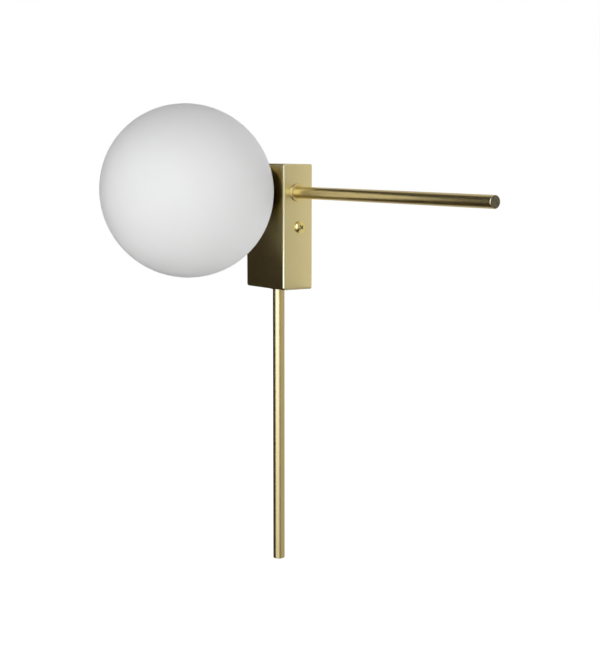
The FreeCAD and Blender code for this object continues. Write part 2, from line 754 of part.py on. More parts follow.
def globe_seal():
    """Flat silicone ring between the holder and the ground rim of the glass."""
    outer = HOLDER_RADIUS - HOLDER_LIP - SEAL_PLAY
    return ring(outer, SPIGOT_RADIUS + SEAL_PLAY, SEAL_THICKNESS, out(HOLDER_SEAT), FORWARD)


def globe():
    """Blown ball, ground flat at its rim, with a neck folded inwards to a rounded lip."""
    centre = GLOBE_CENTRE
    outer = GLOBE_RADIUS
    inner = GLOBE_RADIUS - GLOBE_WALL
    neck_outer = NECK_BORE_RADIUS + NECK_WALL
    lip = NECK_WALL / 2
    lip_start = GLASS_RIM + NECK_LENGTH - lip
    rim_radius = math.sqrt(outer ** 2 - (centre - GLASS_RIM) ** 2)
    shoulder = centre - math.sqrt(inner ** 2 - neck_outer ** 2)
    return revolved([
        line(NECK_BORE_RADIUS, GLASS_RIM, rim_radius, GLASS_RIM),
        arc(rim_radius, GLASS_RIM, outer, centre, 0, centre + outer),
        line(0, centre + outer, 0, centre + inner),
        arc(0, centre + inner, inner, centre, neck_outer, shoulder),
        line(neck_outer, shoulder, neck_outer, lip_start),
        arc(neck_outer, lip_start, neck_outer - lip, lip_start + lip, NECK_BORE_RADIUS, lip_start),
        line(NECK_BORE_RADIUS, lip_start, NECK_BORE_RADIUS, GLASS_RIM),
    ], out(0), FORWARD)


def lamp_holder_bridge():
    """Steel strip on the stem, bent up twice into tapped tabs, with a round foot under the nut."""
    foot = HOLDER_SEAT
    top = CERAMIC_BASE
    sheet = BRIDGE_SHEET
    half = BRIDGE_WIDTH / 2
    bridge = rod(BRIDGE_FOOT_RADIUS, sheet, out(foot), FORWARD)
    bridge = bridge.fuse(block(out(foot, -half, -BRIDGE_REACH), out(foot + sheet, half, BRIDGE_REACH)))
    for side in SIDES:
        leg = side * BRIDGE_REACH
        inside = side * (BRIDGE_REACH - sheet)
        tab = side * (BRIDGE_REACH - BRIDGE_TAB)
        bridge = bridge.fuse(block(out(foot, -half, inside), out(top, half, leg)))
        bridge = bridge.fuse(block(out(top - sheet, -half, tab), out(top, half, leg)))
    bridge = bridge.removeSplitter()
    outer_bends = [e for e in edges_along(bridge, RIGHT, BRIDGE_WIDTH)
                   if abs(abs(e.CenterOfMass.z - GLOBE_AXIS_HEIGHT) - BRIDGE_REACH) < 0.01]
    bridge = bridge.makeFillet(BRIDGE_BEND, outer_bends)
    bridge = bridge.cut(rod(STEM_RADIUS + HOLE_PLAY, sheet * 3, out(foot - sheet), FORWARD))
    for side in SIDES:
        bridge = bridge.cut(rod(M3 / 2, sheet * 3, out(top - sheet * 2, 0, side * EAR_SCREW_REACH), FORWARD))
    return bridge


def lamp_holder():
    """Ceramic body: a square barrel with two pin slots, on a flange with two screw ears."""
    barrel = block(out(BULB_SEAT, -BARREL_X, -BARREL_Z), out(CERAMIC_BASE, BARREL_X, BARREL_Z))
    barrel = barrel.makeFillet(BARREL_CORNER, edges_along(barrel, BACK, CERAMIC_LENGTH))
    mouth = [e for e in barrel.Edges if e.BoundBox.YMax < FACE_Y - BULB_SEAT + 0.01]
    barrel = barrel.makeChamfer(BARREL_CHAMFER, mouth)
    ears = block(out(CERAMIC_BASE + EAR_THICKNESS, -EAR_X, -EAR_Z), out(CERAMIC_BASE, EAR_X, EAR_Z))
    ears = ears.makeFillet(EAR_CORNER, edges_along(ears, BACK, EAR_THICKNESS))
    body = barrel.fuse(ears).removeSplitter()
    wire_hole = WIRE_RADIUS + 3 * THREAD_PLAY
    wire_length = SLOT_FOOT - CERAMIC_BASE + 2
    for side in SIDES:
        middle = side * PIN_SPACING / 2
        slot_mouth = out(BULB_SEAT + 1, middle - SLOT_X, -SLOT_Z)
        body = body.cut(block(slot_mouth, out(SLOT_FOOT, middle + SLOT_X, SLOT_Z)))
        body = body.cut(rod(wire_hole, wire_length, out(CERAMIC_BASE - 1, middle), FORWARD))
        ear = out(CERAMIC_BASE - 1, 0, side * EAR_SCREW_REACH)
        body = body.cut(rod(M3 / 2 + HOLE_PLAY, EAR_THICKNESS + 2, ear, FORWARD))
    return body


def lamp_holder_contacts():
    """Folded spring strips in the slots, which grip the pins from both sides."""
    contacts = []
    foot = SLOT_FOOT + 0.1
    end = foot + CONTACT_LENGTH
    half = CONTACT_WIDTH / 2
    depth = SLOT_Z - THREAD_PLAY
    gap = depth - CONTACT_SHEET
    for side in SIDES:
        middle = side * PIN_SPACING / 2
        outer = block(out(end, middle - half, -depth), out(foot, middle + half, depth))
        inner_mouth = out(end + 1, middle - half - 1, -gap)
        inner = block(inner_mouth, out(foot + CONTACT_SHEET, middle + half + 1, gap))
        contacts.append(outer.cut(inner))
    return Part.makeCompound(contacts)


def lamp_holder_screws():
    screws = []
    for side in SIDES:
        seat = out(CERAMIC_BASE + EAR_THICKNESS, 0, side * EAR_SCREW_REACH)
        screws.append(domed_screw(M3, EAR_SCREW_HEAD, EAR_SCREW_RIM, EAR_SCREW_CROWN,
                                  EAR_SCREW_LENGTH, seat, FORWARD))
    return Part.makeCompound(screws)


def bulb_base():
    """Flat foot that grows into a round collar, with a spigot for the envelope."""
    foot_end = out(BULB_SEAT + BULB_FOOT, -BULB_FOOT_X, -BULB_FOOT_Z)
    foot = block(foot_end, out(BULB_SEAT, BULB_FOOT_X, BULB_FOOT_Z))
    foot = foot.makeFillet(BULB_FOOT_CORNER, edges_along(foot, BACK, BULB_FOOT))
    collar_end = BULB_FOOT + BULB_COLLAR
    spigot = BULB_RADIUS - BULB_WALL - THREAD_PLAY
    collar = turned([
        (0, BULB_FOOT - 2),
        (BULB_RADIUS - 2, BULB_FOOT - 2),
        (BULB_RADIUS, BULB_FOOT + 1),
        (BULB_RADIUS, collar_end),
        (spigot, collar_end),
        (spigot, collar_end + BULB_SPIGOT),
        (0, collar_end + BULB_SPIGOT),
    ], out(BULB_SEAT), FORWARD)
    return foot.fuse(collar).removeSplitter()


def bulb_pins():
    """Two loops of wire, side by side."""
    pins = []
    straight = PIN_LENGTH - PIN_LOOP_RADIUS
    for side in SIDES:
        middle = side * PIN_SPACING / 2
        turn = out(BULB_SEAT - straight, middle)
        loop = Part.makeTorus(PIN_LOOP_RADIUS, PIN_WIRE_RADIUS, turn, UP)
        pin = loop.common(block(turn + V(-2, 0, -1), turn + V(2, 2, 1)))
        for leg in SIDES:
            start = out(BULB_SEAT, middle + leg * PIN_LOOP_RADIUS)
            pin = pin.fuse(rod(PIN_WIRE_RADIUS, straight, start, BACK))
        pins.append(pin.removeSplitter())
    return Part.makeCompound(pins)


def bulb_core():
    """Square column that carries rows of light chips on its four sides."""
    foot = BULB_SEAT + BULB_FOOT + BULB_COLLAR + BULB_SPIGOT
    half = LIGHT_COLUMN_HALF
    core = block(out(foot + LIGHT_COLUMN, -half, -half), out(foot, half, half))
    pitch = LIGHT_COLUMN / LIGHT_ROWS
    for row in range(LIGHT_ROWS):
        near = foot + pitch * (row + 0.5) - CHIP_LENGTH / 2
        for turn in range(4):
            low = out(near + CHIP_LENGTH, -CHIP_WIDTH / 2, half)
            chip = block(low, out(near, CHIP_WIDTH / 2, half + CHIP_HEIGHT))
            chip.rotate(out(0), FORWARD, 90 * turn)
            core = core.fuse(chip)
    return core.removeSplitter()


def bulb_envelope():
    """Frosted capsule with a domed end."""
    foot = BULB_SEAT + BULB_FOOT + BULB_COLLAR
    end = BULB_SEAT + BULB_LENGTH
    outer = BULB_RADIUS
    inner = BULB_RADIUS - BULB_WALL
    centre = end - outer
    part_way = math.sqrt(0.5)
    return revolved([
        line(inner, foot, outer, foot),
        line(outer, foot, outer, centre),
        arc(outer, centre, outer * part_way, centre + outer * part_way, 0, end),
        line(0, end, 0, end - BULB_WALL),
        arc(0, end - BULB_WALL, inner * part_way, centre + inner * part_way, inner, centre),
        line(inner, centre, inner, foot),
    ], out(0), FORWARD)


NODES = {
    "wall_bracket": wall_bracket,
    "bracket_nuts": bracket_nuts,
    "cable_bush": cable_bush,
    "terminal_block": terminal_block,
    "terminal_tubes": terminal_tubes,
    "terminal_screws": terminal_screws,
    "terminal_block_screw": terminal_block_screw,
    "earth_tag": earth_tag,
    "earth_screw": earth_screw,
    "live_lead": lambda: lamp_lead(-1),
    "neutral_lead": lambda: lamp_lead(1),
    "earth_lead": earth_lead,
    "canopy": canopy,
    "canopy_screws": canopy_screws,
    "horizontal_rod": lambda: brass_rod("horizontal"),
    "horizontal_collar": lambda: rod_collar("horizontal"),
    "vertical_rod": lambda: brass_rod("vertical"),
    "vertical_collar": lambda: rod_collar("vertical"),
    "rod_fixing_screws": rod_fixing_screws,
    "rod_spring_washers": rod_spring_washers,
    "stem_tube": stem_tube,
    "stem_nuts": stem_nuts,
    "stem_washer": stem_washer,
    "stem_spacer": stem_spacer,
    "globe_holder": globe_holder,
    "globe_seal": globe_seal,
    "globe": globe,
    "lamp_holder_bridge": lamp_holder_bridge,
    "lamp_holder": lamp_holder,
    "lamp_holder_contacts": lamp_holder_contacts,
    "lamp_holder_screws": lamp_holder_screws,
    "bulb_base": bulb_base,
    "bulb_pins": bulb_pins,
    "bulb_core": bulb_core,
    "bulb_envelope": bulb_envelope,
}


def main():
    os.makedirs("parts", exist_ok=True)
    for name, make in NODES.items():
        shape = make()
        state = "" if shape.isValid() else "  not valid"
        print(f"{name:24s} solids {len(shape.Solids)}  {shape.Volume:10.1f} mm3{state}")
        shape.exportStep(f"parts/{name}.step")


main()
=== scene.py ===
import json
import math

import bmesh
import bpy
from mathutils import Matrix, Vector

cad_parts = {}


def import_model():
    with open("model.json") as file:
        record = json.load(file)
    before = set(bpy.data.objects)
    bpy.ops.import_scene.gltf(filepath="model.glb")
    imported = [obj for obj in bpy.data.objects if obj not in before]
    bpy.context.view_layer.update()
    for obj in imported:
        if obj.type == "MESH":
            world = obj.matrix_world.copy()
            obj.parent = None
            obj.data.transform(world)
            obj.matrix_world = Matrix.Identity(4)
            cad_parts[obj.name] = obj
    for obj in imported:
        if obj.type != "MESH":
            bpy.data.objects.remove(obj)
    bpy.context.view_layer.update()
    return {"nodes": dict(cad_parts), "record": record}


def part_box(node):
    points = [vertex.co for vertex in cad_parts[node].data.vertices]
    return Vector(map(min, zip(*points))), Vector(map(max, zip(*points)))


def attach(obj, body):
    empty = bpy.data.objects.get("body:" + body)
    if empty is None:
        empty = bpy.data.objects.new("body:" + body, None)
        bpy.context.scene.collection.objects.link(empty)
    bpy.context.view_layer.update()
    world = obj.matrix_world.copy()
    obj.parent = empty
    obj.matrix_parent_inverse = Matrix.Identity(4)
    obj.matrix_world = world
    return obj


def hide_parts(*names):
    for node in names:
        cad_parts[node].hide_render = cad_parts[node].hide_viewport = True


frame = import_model()
NODES = frame["nodes"]

# Lengths are in metres and angles in degrees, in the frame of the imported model:
# X along the wall, Y into it, Z up
MM = 0.001
UP = Vector((0, 0, 1))
RIGHT = Vector((1, 0, 0))
DOWN = -UP
FORWARD = Vector((0, -1, 0))

# Brass box
BOX_WALL = 1.5 * MM
BOX_EDGE = 2.0 * MM
BOX_EDGE_STEPS = 6
BOX_INNER_EDGE = 0.8 * MM
BOX_INNER_STEPS = 3
HOLE_PLAY = 0.2 * MM
DRILL_LENGTH = 4 * BOX_WALL

# Rods and collars
ROD_LENGTH = 240.0 * MM
ROD_CHAMFER = 0.3 * MM
ROD_CHAMFER_EDGE = 0.3 * MM
ROD_END_EDGE = 0.2 * MM
ROD_TAP_RADIUS = 3.0 * MM
ROD_TAP_DEPTH = 14.0 * MM
COLLAR_ROUNDING = 1.0 * MM
COLLAR_LIP_WIDTH = 0.7 * MM
COLLAR_LIP_HEIGHT = 0.3 * MM
COLLAR_LIP_FOOT = 0.08 * MM
COLLAR_LIP_EDGE = 0.12 * MM

# Domed screws in the sides of the box
SCREW_RIM = 1.0 * MM
SCREW_RIM_EDGE = 0.15 * MM
SCREW_SHANK_RADIUS = 2.45 * MM
SCREW_LENGTH = 10.0 * MM
SCREW_TIP_CHAMFER = 0.4 * MM
DOME_STEPS = 14

# Cross recess in their heads. Its width is a share of the head's radius, its depth one of the
# crown's height, and a wing's width one of its own. The tapers say what share of its reach and of
# a wing's width is left at the bottom. The cutter stands above the crown by a share of its depth.
RECESS_TURN = 45
RECESS_WIDTH = 1.10
RECESS_DEPTH = 0.80
RECESS_WING = 0.17
RECESS_REACH_TAPER = 0.42
RECESS_WING_TAPER = 0.80
RECESS_OVERSHOOT = 0.3
RECESS_EDGE = 0.07 * MM
RECESS_EDGE_STEPS = 2
RECESS_EDGE_ANGLE = 28

# Glass globe and its neck
GLASS_WALL = 3.0 * MM
NECK_BORE = 16.3 * MM
NECK_WALL = 2.9 * MM
NECK_LENGTH = 12.0 * MM
GLOBE_OUTER_STEPS = 96
GLOBE_INNER_STEPS = 64
NECK_LIP_STEPS = 8

# Waist and holder. The holder's lip covers a share of the seal's thickness.
SPACER_WAIST = 7.0 * MM
SPACER_STEPS = 12
HOLDER_FLOOR = 2.0 * MM
HOLDER_CORNER = 1.4 * MM
HOLDER_EDGE = 0.15 * MM
HOLDER_LIP = 1.0 * MM
HOLDER_LIP_COVER = 0.75
SPIGOT_RADIUS = 15.95 * MM
SPIGOT_WALL = 2.0 * MM
SPIGOT_LEAD_IN = 0.6 * MM

# Fineness of turned pieces. A point with a radius under ON_AXIS lies on the axis.
SEGMENTS = 96
FINE_SEGMENTS = 128
GLOBE_SEGMENTS = 160
DRILL_SEGMENTS = 48
CORNER_STEPS = 5
SHARP_ANGLE = 32
ON_AXIS = 1e-7

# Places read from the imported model. Distances along the globe's axis count from the box's face.
BOX_LOW, BOX_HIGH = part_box("canopy")
GLOBE_LOW, GLOBE_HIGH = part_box("globe")
STEM_LOW, STEM_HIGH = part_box("stem_tube")
SPACER_LOW, SPACER_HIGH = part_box("stem_spacer")
FACE_Y = BOX_LOW.y
GLOBE_RADIUS = (GLOBE_HIGH.z - GLOBE_LOW.z) / 2
GLOBE_CENTRE = FACE_Y - GLOBE_LOW.y - GLOBE_RADIUS
AXIS_START = Vector((0, FACE_Y, (GLOBE_HIGH.z + GLOBE_LOW.z) / 2))
STEM_HOLE = (STEM_HIGH.x - STEM_LOW.x) / 2 + HOLE_PLAY
SPACER_LENGTH = SPACER_HIGH.y - SPACER_LOW.y


# Node trees

NOISE_LOW = 0.3
NOISE_HIGH = 0.7
MOST_REFLECTIONS = 2


class Nodes:
    """Short ways to build one node tree."""

    def __init__(self, tree):
        self.tree = tree

    def add(self, kind, **settings):
        node = self.tree.nodes.new(kind)
        for key, value in settings.items():
            setattr(node, key, value)
        return node

    def link(self, source, target):
        self.tree.links.new(source, target)

    def feed(self, source, target):
        """Links a socket, or sets a colour or a number."""
        if isinstance(source, bpy.types.NodeSocket):
            self.link(source, target)
        elif isinstance(source, tuple):
            target.default_value = (*source, 1.0)
        else:
            target.default_value = source

    def noise(self, scale, detail=3.0, roughness=0.5, stretch=(1, 1, 1)):
        """Noise in object coordinates, which are stretched first."""
        place = self.add("ShaderNodeTexCoord")
        mapping = self.add("ShaderNodeMapping")
        mapping.inputs["Scale"].default_value = stretch
        self.link(place.outputs["Object"], mapping.inputs["Vector"])
        node = self.add("ShaderNodeTexNoise")
        node.inputs["Scale"].default_value = scale
        node.inputs["Detail"].default_value = detail
        node.inputs["Roughness"].default_value = roughness
        self.link(mapping.outputs["Vector"], node.inputs["Vector"])
        return node.outputs["Fac"]

    def spread(self, value, low, high):
        """Maps a noise to low..high. Nearly all of it lies between NOISE_LOW and NOISE_HIGH."""
        node = self.add("ShaderNodeMapRange")
        node.inputs["From Min"].default_value = NOISE_LOW
        node.inputs["From Max"].default_value = NOISE_HIGH
        node.inputs["To Min"].default_value = low
        node.inputs["To Max"].default_value = high
        self.link(value, node.inputs["Value"])
        return node.outputs["Result"]

    def between(self, kind, factor, first, second):
        node = self.add("ShaderNodeMix", data_type=kind)
        self.feed(factor, node.inputs["Factor"])
        self.feed(first, node.inputs["A"])
        self.feed(second, node.inputs["B"])
        return node.outputs["Result"]

    def mix(self, factor, first, second):
        """Colour between two others."""
        return self.between("RGBA", factor, first, second)

    def blend(self, factor, first, second):
        """Number between two others."""
        return self.between("FLOAT", factor, first, second)

    def tint(self, value, colours):
        """Colour between two others that follows a noise."""
        return self.mix(self.spread(value, 0.0, 1.0), *colours)

    def math(self, operation, first, second):
        """One sum, with sockets or numbers."""
        node = self.add("ShaderNodeMath", operation=operation)
        self.feed(first, node.inputs[0])
        self.feed(second, node.inputs[1])
        return node.outputs[0]

    def coordinate(self, axis):
        """Object coordinate along one axis."""
        place = self.add("ShaderNodeTexCoord")
        split = self.add("ShaderNodeSeparateXYZ")
        self.link(place.outputs["Object"], split.inputs[0])
        return split.outputs[axis]

    def beyond(self, axis, limit):
        """1 where the coordinate along the axis is past the limit, else 0."""
        return self.math("GREATER_THAN", self.coordinate(axis), limit)

    def ramp(self, axis, first, last):
        """Rises smoothly from 0 to 1 between two coordinates along the axis."""
        rise = self.add("ShaderNodeMapRange", interpolation_type="SMOOTHSTEP")
        rise.inputs["From Min"].default_value = first
        rise.inputs["From Max"].default_value = last
        self.link(self.coordinate(axis), rise.inputs["Value"])
        return rise.outputs["Result"]

    def seen(self):
        """1 for the camera and its first reflections, 0 for matt surfaces and in deep gaps."""
        path = self.add("ShaderNodeLightPath").outputs
        clear = self.math("MAXIMUM", path["Is Glossy Ray"], path["Is Transmission Ray"])
        clear = self.math("MAXIMUM", clear, path["Is Camera Ray"])
        direct = self.math("LESS_THAN", path["Diffuse Depth"], 0.5)
        near = self.math("LESS_THAN", path["Glossy Depth"], MOST_REFLECTIONS + 0.5)
        return self.math("MULTIPLY", clear, self.math("MULTIPLY", direct, near))

    def bump(self, height, strength, distance):
        node = self.add("ShaderNodeBump")
        node.inputs["Strength"].default_value = strength
        node.inputs["Distance"].default_value = distance
        self.link(height, node.inputs["Height"])
        return node.outputs["Normal"]


# Materials

# Darker and lighter colour of each surface
BOX_BRASS = ((0.830, 0.700, 0.340), (0.870, 0.740, 0.365))
ROD_BRASS = ((0.860, 0.680, 0.280), (0.910, 0.725, 0.305))
SAWN_BRASS = ((0.085, 0.070, 0.042), (0.290, 0.250, 0.160))
GOLD_BRASS = ((0.930, 0.740, 0.270), (0.970, 0.790, 0.310))
TERMINAL_BRASS = ((0.600, 0.460, 0.180), (0.720, 0.570, 0.250))
ZINC = ((0.420, 0.430, 0.440), (0.560, 0.570, 0.580))
DARK_STEEL = ((0.050, 0.050, 0.055), (0.090, 0.090, 0.095))
NICKEL = ((0.520, 0.490, 0.430), (0.640, 0.610, 0.550))
OPAL = ((0.860, 0.860, 0.857), (0.885, 0.885, 0.883))
FROST = ((0.900, 0.900, 0.890), (0.950, 0.950, 0.940))
IVORY_PLASTIC = ((0.720, 0.700, 0.620), (0.790, 0.770, 0.700))
BLACK_PLASTIC = ((0.012, 0.012, 0.013), (0.022, 0.022, 0.023))
GREY_RUBBER = ((0.600, 0.600, 0.580), (0.680, 0.680, 0.660))
CREAM_CERAMIC = ((0.800, 0.790, 0.740), (0.860, 0.850, 0.800))
WHITE_CERAMIC = ((0.780, 0.780, 0.760), (0.840, 0.840, 0.820))
BROWN = ((0.085, 0.030, 0.012), (0.120, 0.045, 0.018))
BLUE = ((0.010, 0.050, 0.330), (0.018, 0.070, 0.420))

# Two colours side by side
GREEN_AND_YELLOW = ((0.030, 0.220, 0.040), (0.720, 0.600, 0.030))
BOARD_AND_CHIP = ((0.860, 0.860, 0.840), (0.900, 0.660, 0.100))

# Brush lines, stretched along X or round Z
ALONG_X = (40.0, 5200.0, 5200.0)
ROUND_Z = (300.0, 300.0, 9000.0)

# Depths of the fine textures
FINE_RELIEF = 0.02 * MM
MOULDED_RELIEF = 0.05 * MM

# Where a colour changes: at a rod's end face, at the X of the earth lead's stripe, and halfway up
# a light chip
SAWN_START = ROD_LENGTH - 0.02 * MM
STRIPE_X = 0.25 * MM
CHIP_HEIGHT = 0.6 * MM

MATERIALS = {}


def new_material(name):
    """Adds a Principled material to MATERIALS. Gives its node tree and its shader."""
    material = bpy.data.materials.new(name)
    material.use_nodes = True
    MATERIALS[name] = material
    return Nodes(material.node_tree), material.node_tree.nodes["Principled BSDF"]


def satin_metal(name, colours, roughness, coat=0.0, sawn_start=None):
    """Blasted metal with faint clouds and a fine speckle, dull and mottled past sawn_start along Z."""
    nodes, shader = new_material(name)
    cloud = nodes.noise(scale=38.0, roughness=0.6)
    speckle = nodes.noise(scale=1500.0, detail=2.0, roughness=0.6)
    colour = nodes.tint(cloud, colours)
    gloss = nodes.spread(speckle, roughness * 0.96, roughness * 1.04)
    if sawn_start is not None:
        sawn = nodes.beyond("Z", sawn_start)
        mottle = nodes.noise(scale=520.0, detail=4.0, roughness=0.7)
        colour = nodes.mix(sawn, colour, nodes.tint(mottle, SAWN_BRASS))
        gloss = nodes.blend(sawn, gloss, nodes.spread(mottle, 0.36, 0.56))
    nodes.link(colour, shader.inputs["Base Color"])
    nodes.link(gloss, shader.inputs["Roughness"])
    nodes.link(nodes.bump(speckle, 0.03, FINE_RELIEF), shader.inputs["Normal"])
    shader.inputs["Metallic"].default_value = 1.0
    shader.inputs["Coat Weight"].default_value = coat
    shader.inputs["Coat Roughness"].default_value = roughness


def brushed_metal(name, colours, roughness, brush, grain=0.04):
    """Metal with fine lines. brush stretches them: small along the stroke, large across it."""
    nodes, shader = new_material(name)
    lines = nodes.noise(scale=1.0, detail=4.0, roughness=0.6, stretch=brush)
    cloud = nodes.noise(scale=45.0, detail=2.0)
    tone = nodes.blend(0.45, cloud, lines)
    gloss = nodes.spread(lines, roughness * 0.88, roughness * 1.14)
    nodes.link(nodes.tint(tone, colours), shader.inputs["Base Color"])
    nodes.link(gloss, shader.inputs["Roughness"])
    nodes.link(nodes.bump(lines, grain, FINE_RELIEF), shader.inputs["Normal"])
    shader.inputs["Metallic"].default_value = 1.0


def moulded(name, colours, roughness, texture=900.0, relief=0.05, coat=0.0):
    """Plastic, rubber or ceramic with a faint surface texture."""
    nodes, shader = new_material(name)
    cloud = nodes.noise(scale=60.0)
    pores = nodes.noise(scale=texture)
    gloss = nodes.spread(pores, roughness * 0.9, roughness * 1.1)
    nodes.link(nodes.tint(cloud, colours), shader.inputs["Base Color"])
    nodes.link(gloss, shader.inputs["Roughness"])
    nodes.link(nodes.bump(pores, relief, MOULDED_RELIEF), shader.inputs["Normal"])
    shader.inputs["Coat Weight"].default_value = coat
    shader.inputs["Coat Roughness"].default_value = 0.12


def opal_glass():
    """Etched opal glass: white in its depth, with a soft matt skin."""
    nodes, shader = new_material("opal_glass")
    cloud = nodes.noise(scale=22.0)
    etching = nodes.noise(scale=2600.0, detail=2.0)
    nodes.link(nodes.tint(cloud, OPAL), shader.inputs["Base Color"])
    nodes.link(nodes.spread(cloud, 0.54, 0.60), shader.inputs["Roughness"])
    nodes.link(nodes.bump(etching, 0.05, FINE_RELIEF), shader.inputs["Normal"])
    shader.inputs["Specular IOR Level"].default_value = 0.20
    shader.inputs["Subsurface Weight"].default_value = 0.25
    shader.inputs["Subsurface Radius"].default_value = (1.0, 1.0, 1.0)
    shader.inputs["Subsurface Scale"].default_value = 3.0 * MM


def frosted_glass():
    """Frosted glass that lets some light through."""
    nodes, shader = new_material("bulb_frost")
    frost = nodes.noise(scale=2200.0, detail=2.0)
    nodes.link(nodes.tint(frost, FROST), shader.inputs["Base Color"])
    nodes.link(nodes.spread(frost, 0.36, 0.44), shader.inputs["Roughness"])
    shader.inputs["Transmission Weight"].default_value = 0.45
    shader.inputs["IOR"].default_value = 1.46


def striped_insulation():
    """Green insulation with a yellow stripe along one side."""
    nodes, shader = new_material("earth_insulation")
    stripe = nodes.beyond("X", STRIPE_X)
    sheen = nodes.noise(scale=700.0)
    nodes.link(nodes.mix(stripe, *GREEN_AND_YELLOW), shader.inputs["Base Color"])
    nodes.link(nodes.spread(sheen, 0.30, 0.38), shader.inputs["Roughness"])


def light_chips():
    """White board with rows of yellow chips, told apart by how far they stand from its middle."""
    nodes, shader = new_material("light_chips")
    low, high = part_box("bulb_core")
    place = nodes.add("ShaderNodeTexCoord")
    offset = nodes.add("ShaderNodeVectorMath", operation="SUBTRACT")
    offset.inputs[1].default_value = (low + high) / 2
    distance = nodes.add("ShaderNodeVectorMath", operation="ABSOLUTE")
    split = nodes.add("ShaderNodeSeparateXYZ")
    nodes.link(place.outputs["Object"], offset.inputs[0])
    nodes.link(offset.outputs[0], distance.inputs[0])
    nodes.link(distance.outputs[0], split.inputs[0])
    widest = nodes.math("MAXIMUM", split.outputs["X"], split.outputs["Z"])
    raised = nodes.math("GREATER_THAN", widest, (high.x - low.x) / 2 - CHIP_HEIGHT / 2)
    grain = nodes.noise(scale=900.0)
    nodes.link(nodes.mix(raised, *BOARD_AND_CHIP), shader.inputs["Base Color"])
    nodes.link(nodes.spread(grain, 0.42, 0.52), shader.inputs["Roughness"])


satin_metal("box_brass", BOX_BRASS, 0.31, coat=0.3)
satin_metal("satin_brass", ROD_BRASS, 0.33, coat=0.3)
satin_metal("rod_brass", ROD_BRASS, 0.33, coat=0.3, sawn_start=SAWN_START)
satin_metal("polished_brass", GOLD_BRASS, 0.24)
opal_glass()
brushed_metal("zinc_steel", ZINC, 0.34, ALONG_X, grain=0.03)
brushed_metal("dark_steel", DARK_STEEL, 0.38, ROUND_Z)
moulded("block_plastic", IVORY_PLASTIC, 0.42)
moulded("bush_plastic", BLACK_PLASTIC, 0.48)
brushed_metal("terminal_brass", TERMINAL_BRASS, 0.24, ROUND_Z)
moulded("seal_rubber", GREY_RUBBER, 0.46)
moulded("lamp_ceramic", CREAM_CERAMIC, 0.32, texture=500.0, relief=0.03, coat=0.3)
brushed_metal("contact_nickel", NICKEL, 0.20, ALONG_X, grain=0.02)
moulded("live_insulation", BROWN, 0.34)
moulded("neutral_insulation", BLUE, 0.34)
striped_insulation()
frosted_glass()
moulded("bulb_ceramic", WHITE_CERAMIC, 0.46)
light_chips()


def dress_nodes():
    """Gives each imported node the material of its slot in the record."""
    for part in frame["record"]["subparts"]:
        node = NODES[part["node"]]
        node.data.materials.clear()
        node.data.materials.append(MATERIALS[part["material_slot"]])


dress_nodes()


# Mesh helpers


def new_object(name, data):
    """Adds an object to the scene."""
    item = bpy.data.objects.new(name, data)
    bpy.context.scene.collection.objects.link(item)
    return item


def add_mesh(name, bm, material, matrix=Matrix.Identity(4)):
    """Adds an object with the mesh of bm."""
    mesh = bpy.data.meshes.new(name)
    bm.to_mesh(mesh)
    bm.free()
    mesh.materials.append(material)
    item = new_object(name, mesh)
    item.matrix_world = matrix
    return item


def placement(start, direction):
    """Matrix that puts the origin at start and turns local Z along direction."""
    return Matrix.Translation(start) @ direction.to_track_quat("Z", "Y").to_matrix().to_4x4()


def rounded(corners):
    """Closed outline through the corners. A corner's third number is the radius of its arc."""
    outline = []
    count = len(corners)
    for i, corner in enumerate(corners):
        here = Vector(corner[:2])
        if len(corner) == 2:
            outline.append(here)
            continue
        radius = corner[2]
        before = (Vector(corners[i - 1][:2]) - here).normalized()
        after = (Vector(corners[(i + 1) % count][:2]) - here).normalized()
        half = before.angle(after) / 2
        middle = here + (before + after).normalized() * (radius / math.sin(half))
        start = here + before * (radius / math.tan(half)) - middle
        sweep = start.angle_signed(here + after * (radius / math.tan(half)) - middle)
        for step in range(CORNER_STEPS + 1):
            turn = Matrix.Rotation(-sweep * step / CORNER_STEPS, 2)
            outline.append(middle + turn @ start)
    return outline


def arc(centre, radius, first, last, steps):
    """Points (radius, place) of an arc between two angles, which count from straight outwards."""
    across, along = centre
    points = []
    for i in range(steps + 1):
        angle = math.radians(first + (last - first) * i / steps)
        points.append(Vector((across + radius * math.cos(angle), along + radius * math.sin(angle))))
    return points


def turned(bm, point, segments):
    """Ring of vertices for a point (radius, place), or one vertex if it lies on the axis."""
    if point.x < ON_AXIS:
        return [bm.verts.new((0, 0, point.y))]
    ring = []
    for i in range(segments):
        angle = 2 * math.pi * i / segments
        ring.append(bm.verts.new((point.x * math.cos(angle), point.x * math.sin(angle), point.y)))
    return ring


def lathe(name, outline, start, direction, material, segments=SEGMENTS, closed=True):
    """Adds a piece: an outline of points (radius, place) that is turned round an axis."""
    bm = bmesh.new()
    rings = [turned(bm, point, segments) for point in outline]
    pairs = list(zip(rings, rings[1:]))
    if closed:
        pairs.append((rings[-1], rings[0]))
    for lower, upper in pairs:
        if len(lower) == 1 and len(upper) == 1:
            continue
        for i in range(segments):
            j = (i + 1) % segments
            loop = [lower[i % len(lower)], lower[j % len(lower)]]
            loop += [upper[j % len(upper)], upper[i % len(upper)]]
            bm.faces.new(list(dict.fromkeys(loop)))
    bmesh.ops.recalc_face_normals(bm, faces=bm.faces)
    piece = add_mesh(name, bm, MATERIALS[material], placement(start, direction))
    smooth(piece)
    return piece


def smooth(piece):
    """Shades the piece smooth except along its sharp edges."""
    piece.data.shade_smooth()
    piece.data.set_sharp_from_angle(angle=math.radians(SHARP_ANGLE))


def even_shading(piece):
    """Lets large faces lead the shading, so that small roundings read as roundings."""
    modifier = piece.modifiers.new("even_shading", "WEIGHTED_NORMAL")
    modifier.keep_sharp = True


